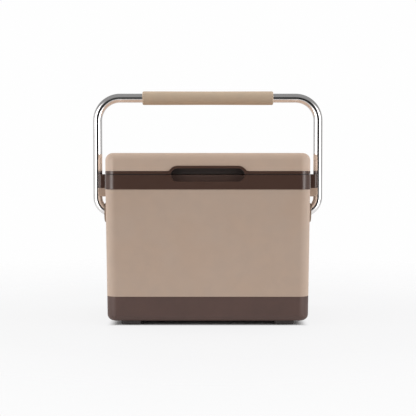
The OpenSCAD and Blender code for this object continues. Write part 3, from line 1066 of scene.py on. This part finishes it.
class COOLER_OT_lid_frame(Operator):
    """Build the lid's frame with the raised border of the finger recess"""

    bl_idname = "cooler.lid_frame"
    bl_label = "Lid frame"

    def execute(self, context):
        s = sizes()
        z0, z1 = FRAME_BOTTOM, LID_LOW.z
        ring = cooler_box("lid_collar", z0 - MM, z1, -0.2 * MM)
        cut(ring, cooler_box("inside", z0 - 2 * MM, z1 + MM, 9 * MM, 8 * MM))
        front = FRONT_Y - 1.2 * MM
        border = recess_bar("border", 1.2 * MM, 3.8 * MM, front)
        round_edges(border, lambda e: all(near(v.co.y, front) for v in e.verts), 0.8 * MM, 5)
        merge(ring, border)
        flare_x, flare_r = 58.6 * MM, 4.2 * MM
        for side in (-1, 1):
            xs = sorted((side * 50 * MM, side * flare_x))
            flare = add_box("flare", (xs[0], front, z0 - MM), (xs[1], FRONT_Y + MM, z1 + 2.8 * MM))
            hollow_z = z1 + flare_r
            start, end = ((side * flare_x, y, hollow_z) for y in (front - MM, FRONT_Y + 2 * MM))
            cut(flare, add_rod("hollow", start, end, flare_r))
            merge(ring, flare)
        merge(ring, housing(0))
        cut(ring, recess_bar("recess", s.recess_depth, 0))
        wide = LID_HIGH.x + 10 * MM
        cut(ring, add_box("below", (-wide, FRONT_Y - 20 * MM, z0 - 30 * MM), (wide, REAR_Y + 20 * MM, z0)))
        opening = lambda e: all(
            near(v.co.y, front) and v.co.z > z0 + 0.2 * MM and abs(v.co.x) < 53.6 * MM
            and v.co.z < RECESS_Z + s.recess_radius + 0.1 * MM for v in e.verts
        )
        round_edges(ring, opening, 0.9 * MM, 5)
        rib = cooler_box("rib", RIM_TOP + 0.1 * MM, z0 + 0.5 * MM, 1.2 * MM)
        cut(
            rib,
            cooler_box("inside", RIM_TOP - MM, z0 + MM, 3.2 * MM),
            recess_bar("recess", s.recess_depth, 0.5 * MM),
        )
        merge(ring, rib)
        offset = LID_KNUCKLE / 2 + 7 * MM
        for centre in HINGE_XS:
            for x in (centre - offset, centre + offset):
                cut(ring, hinge_rod(x, 14 * MM, KNUCKLE + 0.4 * MM))
            web = add_box(
                "web", (centre - LID_KNUCKLE / 2, HINGE.y - 4 * MM, HINGE.z + 0.7 * MM),
                (centre + LID_KNUCKLE / 2, HINGE.y + 2.6 * MM, HINGE.z + 4.4 * MM),
            )
            merge(ring, web, hinge_rod(centre, LID_KNUCKLE, KNUCKLE))
            cut(ring, hinge_rod(centre, 50 * MM, PIN_HOLE))
        soften(ring, 0.35 * MM)
        settle(ring, "lid", gloss_brown(), "rim_plastic", "lid_frame")
        # Painted shade: the walls of the recess in the lid frame and the rib in the seam get darker copies
        # of the rim's plastic, standing in for the shade there.
        paint_light_on_faces(ring, brown_with_painted_light("recess_painted_shade", 0.25), in_recess)
        paint_light_on_faces(ring, brown_with_painted_light("seam_painted_shade", 0.1), in_seam)
        return {"FINISHED"}


class COOLER_OT_lid_inside(Operator):
    """Build the lid's inner panel and its seal"""

    bl_idname = "cooler.lid_inside"
    bl_label = "Lid panel and seal"

    def execute(self, context):
        z0, z1 = PANEL_LOW.z, PANEL_HIGH.z
        flange = 2.2 * MM
        plug = 29.5 * MM
        panel = cooler_box("lid_panel", z1 - flange, z1, 9.4 * MM, 8 * MM)
        body = cooler_box("plug", z0, z1 - MM, plug, 18 * MM)
        round_edges(body, level_at(z0), 3 * MM, 8)
        merge(panel, body)
        cut(
            panel,
            cooler_box("hollow", z0 + flange, z1 + MM, plug + flange, 15.8 * MM),
            housing(0.5 * MM, 0.5 * MM),
        )
        soften(panel, 0.5 * MM)
        settle(panel, "lid", white_liner(), "liner", "lid_liner")

        seal = cooler_box("lid_gasket", SEAL_LOW.z, SEAL_HIGH.z, 18 * MM, 22 * MM)
        cut(seal, cooler_box("inside", SEAL_LOW.z - MM, SEAL_HIGH.z + MM, 24 * MM, 16 * MM))
        soften(seal, 1.1 * MM, 4)
        settle(seal, "lid", black_rubber(), "black_rubber", "lid_seal")
        return {"FINISHED"}


class COOLER_OT_bail(Operator):
    """Bend the bail's tube and fit its grip sleeve"""

    bl_idname = "cooler.bail"
    bl_label = "Bail and grip"

    def execute(self, context):
        s = sizes()
        settle(self.tube(s), "bail", polished_tube(), "polished_steel", "bail_tube")
        settle(self.grip(s), "bail", grip_rubber(), "grip_sleeve", "bail_grip")
        return {"FINISHED"}

    def tube(self, s):
        """Half a bail drawn along its line from the right-hand end, then mirrored."""
        leg = TUBE_HIGH.x - s.tube
        bpy.ops.object.select_all(action="DESELECT")
        bpy.ops.mesh.primitive_circle_add(
            vertices=56, radius=s.tube, fill_type="NOTHING",
            location=(PLUG_LOW.x + 1.6 * MM, MID_Y, PIVOT.z), rotation=(0, math.pi / 2, 0),
        )
        tube = placed("carry_tube")
        edit(tube)
        bpy.ops.mesh.select_all(action="SELECT")

        def run(x, z):
            bpy.ops.mesh.extrude_region_move(TRANSFORM_OT_translate={"value": (x, 0, z)})

        def bend(x, z, steps):
            bpy.ops.mesh.spin(
                steps=steps, angle=math.pi / 2, center=(x, MID_Y, z), axis=(0, 1, 0)
            )

        run(leg - s.lower_bend - PLUG_LOW.x - 1.6 * MM, 0)
        bend(leg - s.lower_bend, PIVOT.z + s.lower_bend, 18)
        run(0, BAR_Z - s.upper_bend - PIVOT.z - s.lower_bend)
        bend(leg - s.upper_bend, BAR_Z - s.upper_bend, 20)
        run(s.upper_bend - leg, 0)
        weld(0.01 * MM)
        leave()
        modify(tube, "MIRROR", use_axis=(True, False, False), merge_threshold=0.05 * MM)
        edit(tube)
        turn_outwards()
        leave()
        thicken(tube, 1.2 * MM)
        smooth(tube)
        return tube

    def grip(self, s):
        """A sleeve with round shoulders and a slight waist."""
        x0, x1 = GRIP_LOW.x, GRIP_HIGH.x
        outer, bore = (GRIP_HIGH.z - GRIP_LOW.z) / 2, s.tube + 0.06 * MM
        shoulder = 1.8 * MM
        left = []
        for step in range(7):
            turn = math.pi / 2 * step / 6
            left.append((shoulder * (1 - math.sin(turn)), outer - shoulder * (1 - math.cos(turn))))
        left.reverse()
        profile = [(x0 + 0.3 * MM, bore), (x0, bore + 0.3 * MM)]
        profile += [(x0 + d, r) for d, r in sorted(left)]
        waist = 0.2 * MM
        for step in range(1, 12):
            t = step / 12
            x = x0 + shoulder + (x1 - x0 - 2 * shoulder) * t
            profile.append((x, outer - waist * math.sin(math.pi * t) ** 2))
        profile += [(x1 - d, r) for d, r in sorted(left, reverse=True)]
        profile += [(x1, bore + 0.3 * MM), (x1 - 0.3 * MM, bore), (x0 + 0.3 * MM, bore)]
        return turned("grip_sleeve", (0, MID_Y, BAR_Z), (1, 0, 0), profile, 72)


# How bright the room is for shiny surfaces, by the bearing in degrees, 0 being the camera's side.
GLOSS_ROOM = (
    (-180, 0.6), (-126, 0.56), (-90, 0.62), (-72, 0.8), (-64, 1.5), (-54, 4.8), (-38, 5.5), (-31, 1.6),
    (-24, 0.15), (-7, 0.05), (3, 0.01), (22, 0.02), (28, 0.25), (34, 1.8), (41, 5.2), (54, 5.0), (62, 1.5),
    (70, 0.8), (88, 0.38), (126, 0.5), (180, 0.6),
)
GLOSS_PEAK = max(level for _, level in GLOSS_ROOM)


class COOLER_OT_stage(Operator):
    """Set up the floor, the studio light and the camera"""

    bl_idname = "cooler.stage"
    bl_label = "Stage"

    def execute(self, context):
        stage = context.scene.cooler_stage
        context.scene.view_settings.view_transform = "Standard"
        self.floor()
        self.light(context, stage)
        self.camera(context, stage)
        return {"FINISHED"}

    def floor(self):
        """A pale disc that fades out, so that it has no horizon, glowing evenly except under the chest,
        where the glow is left out as a painted shadow.
        """
        bpy.ops.object.select_all(action="DESELECT")
        bpy.ops.mesh.primitive_circle_add(vertices=96, radius=1.6, fill_type="NGON", location=(0, 0, 0))
        floor = bpy.context.object
        floor.name = floor.data.name = "studio_floor"
        material, shader, place = new_material("studio_floor", (0.62, 0.62, 0.62), 0.55)
        tree = material.node_tree
        link = tree.links.new
        feed(
            material, ramp(material, noise(material, place, 3, 2), (0.61, 0.61, 0.61), (0.63, 0.63, 0.63)),
            shader, "Base Color",
        )
        # Painted shadow: the floor glows only outside the chest's footprint, so it stays dark under the
        # chest.
        footprint = add_node(tree, "Mapping")
        footprint.inputs["Scale"].default_value = (1 / LID_HIGH.x, 1 / LID_HIGH.x / 0.75, 0)
        link(place, footprint.inputs["Vector"])
        split = add_node(tree, "SeparateXYZ")
        link(footprint.outputs[0], split.inputs[0])
        across, along = (maths(tree, "ABSOLUTE", split.outputs[axis]) for axis in "XY")
        glow_clear_of_painted_shadow = between(tree, maths(tree, "MAXIMUM", across, along), 0.88, 1.0, 0.0, 0.85)
        seen = add_node(tree, "LightPath")
        glow = add_node(tree, "Emission")
        glow.inputs["Color"].default_value = (0.97, 0.97, 0.975, 1)
        lit = add_node(tree, "MixShader")
        dimmed = maths(tree, "SUBTRACT", 1.0, maths(tree, "MULTIPLY", seen.outputs["Is Glossy Ray"], 0.6))
        link(maths(tree, "MULTIPLY", glow_clear_of_painted_shadow, dimmed), lit.inputs[0])
        link(shader.outputs[0], lit.inputs[1])
        link(glow.outputs[0], lit.inputs[2])
        length = add_node(tree, "VectorMath")
        length.operation = "LENGTH"
        link(place, length.inputs[0])
        fade = ramp(material, length.outputs["Value"], 0.0, 1.0, 0.35, 0.99)
        clear = add_node(tree, "BsdfTransparent")
        mix = add_node(tree, "MixShader")
        link(fade, mix.inputs[0])
        link(lit.outputs[0], mix.inputs[1])
        link(clear.outputs[0], mix.inputs[2])
        output = next(node for node in tree.nodes if node.type == "OUTPUT_MATERIAL")
        link(mix.outputs[0], output.inputs[0])
        floor.data.materials.append(material)

    def light(self, context, stage):
        """A white room: bright at the sides, and two soft boxes either side of a dark card for the gloss."""
        world = bpy.data.worlds.new("studio_light")
        context.scene.world = world
        world.use_nodes = True
        tree = world.node_tree
        tree.nodes.clear()
        link = tree.links.new
        output = add_node(tree, "OutputWorld")
        place = add_node(tree, "TexCoord")
        split = add_node(tree, "SeparateXYZ")
        link(place.outputs["Generated"], split.inputs[0])
        x, y, z = (split.outputs[axis] for axis in "XYZ")

        boxes = between(tree, maths(tree, "ABSOLUTE", x), 0.55, 0.97, stage.middle, stage.sides)
        overhead = between(tree, z, 0.0, 0.9, 0.0, stage.overhead)
        behind = between(tree, y, -0.1, 0.3, 0.0, stage.backdrop)
        below = between(tree, z, -0.3, 0.0, 0.5, 1.0)
        around = maths(tree, "MAXIMUM", boxes, behind)
        soft = maths(tree, "MULTIPLY", below, maths(tree, "ADD", overhead, around))

        turn = maths(tree, "ARCTAN2", x, maths(tree, "MULTIPLY", y, -1.0))
        ring = add_node(tree, "ValToRGB")
        stops = ring.color_ramp.elements
        while len(stops) > 1:
            stops.remove(stops[-1])
        for degrees, level in GLOSS_ROOM:
            stop = stops.new(0.5 + degrees / 360)
            share = level / GLOSS_PEAK
            stop.color = (share, share, share, 1)
        stops.remove(stops[0])
        link(maths(tree, "ADD", maths(tree, "DIVIDE", turn, 2 * math.pi), 0.5), ring.inputs["Fac"])
        ceiling = between(tree, z, 0.15, 0.6, 0.0, 1.0)
        walls = maths(tree, "MULTIPLY", ring.outputs["Color"], GLOSS_PEAK)
        level = maths(tree, "MULTIPLY", walls, maths(tree, "SUBTRACT", 1.0, ceiling))
        sharp = maths(tree, "ADD", level, maths(tree, "MULTIPLY", ceiling, stage.ceiling))

        seen = add_node(tree, "LightPath")
        gloss = seen.outputs["Is Glossy Ray"]
        level = maths(
            tree, "ADD", maths(tree, "MULTIPLY", gloss, sharp),
            maths(tree, "MULTIPLY", maths(tree, "SUBTRACT", 1.0, gloss), soft),
        )
        studio = add_node(tree, "Background")
        studio.inputs["Color"].default_value = (1, 1, 1, 1)
        link(level, studio.inputs["Strength"])
        plain = add_node(tree, "Background")
        plain.inputs["Color"].default_value = (0.992, 0.992, 0.992, 1)
        mix = add_node(tree, "MixShader")
        link(seen.outputs["Is Camera Ray"], mix.inputs[0])
        link(studio.outputs[0], mix.inputs[1])
        link(plain.outputs[0], mix.inputs[2])
        link(mix.outputs[0], output.inputs[0])

    def camera(self, context, stage):
        """A long lens at the height of the lid, tilted slightly down."""
        data = bpy.data.cameras.new("camera")
        data.lens = stage.lens
        camera = bpy.data.objects.new("camera", data)
        context.scene.collection.objects.link(camera)
        camera.location = (0.0003, FRONT_Y - stage.distance, stage.height)
        camera.rotation_euler = (math.pi / 2 - stage.pitch, 0, 0)
        context.scene.camera = camera


class COOLER_PT_panel(Panel):
    """The steps, in the order they are made."""

    bl_idname = "COOLER_PT_panel"
    bl_label = "Cooler chest"
    bl_space_type = "VIEW_3D"
    bl_region_type = "UI"
    bl_category = "Cooler"

    def draw(self, context):
        scene = context.scene
        for settings in (scene.cooler_sizes, scene.cooler_colours, scene.cooler_stage):
            box = self.layout.box()
            for name in settings.__annotations__:
                box.prop(settings, name)
        for step in STEPS:
            self.layout.operator(step.bl_idname)


STEPS = (
    COOLER_OT_stage,
    COOLER_OT_outer_shell,
    COOLER_OT_rim_band,
    COOLER_OT_base_tray,
    COOLER_OT_feet,
    COOLER_OT_pivots,
    COOLER_OT_hinge_pins,
    COOLER_OT_liner,
    COOLER_OT_lid_shell,
    COOLER_OT_lid_frame,
    COOLER_OT_lid_inside,
    COOLER_OT_bail,
)
SETTINGS = (CoolerSizes, CoolerColours, StageSettings)


def register():
    for item in (*SETTINGS, *STEPS, COOLER_PT_panel):
        bpy.utils.register_class(item)
    bpy.types.Scene.cooler_sizes = PointerProperty(type=CoolerSizes)
    bpy.types.Scene.cooler_colours = PointerProperty(type=CoolerColours)
    bpy.types.Scene.cooler_stage = PointerProperty(type=StageSettings)


def unregister():
    del bpy.types.Scene.cooler_stage
    del bpy.types.Scene.cooler_colours
    del bpy.types.Scene.cooler_sizes
    for item in reversed((*SETTINGS, *STEPS, COOLER_PT_panel)):
        bpy.utils.unregister_class(item)


def main():
    """Register the add-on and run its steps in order."""
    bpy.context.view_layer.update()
    register()
    for step in STEPS:
        group, name = step.bl_idname.split(".")
        getattr(getattr(bpy.ops, group), name)()


if __name__ == "__main__":
    main()
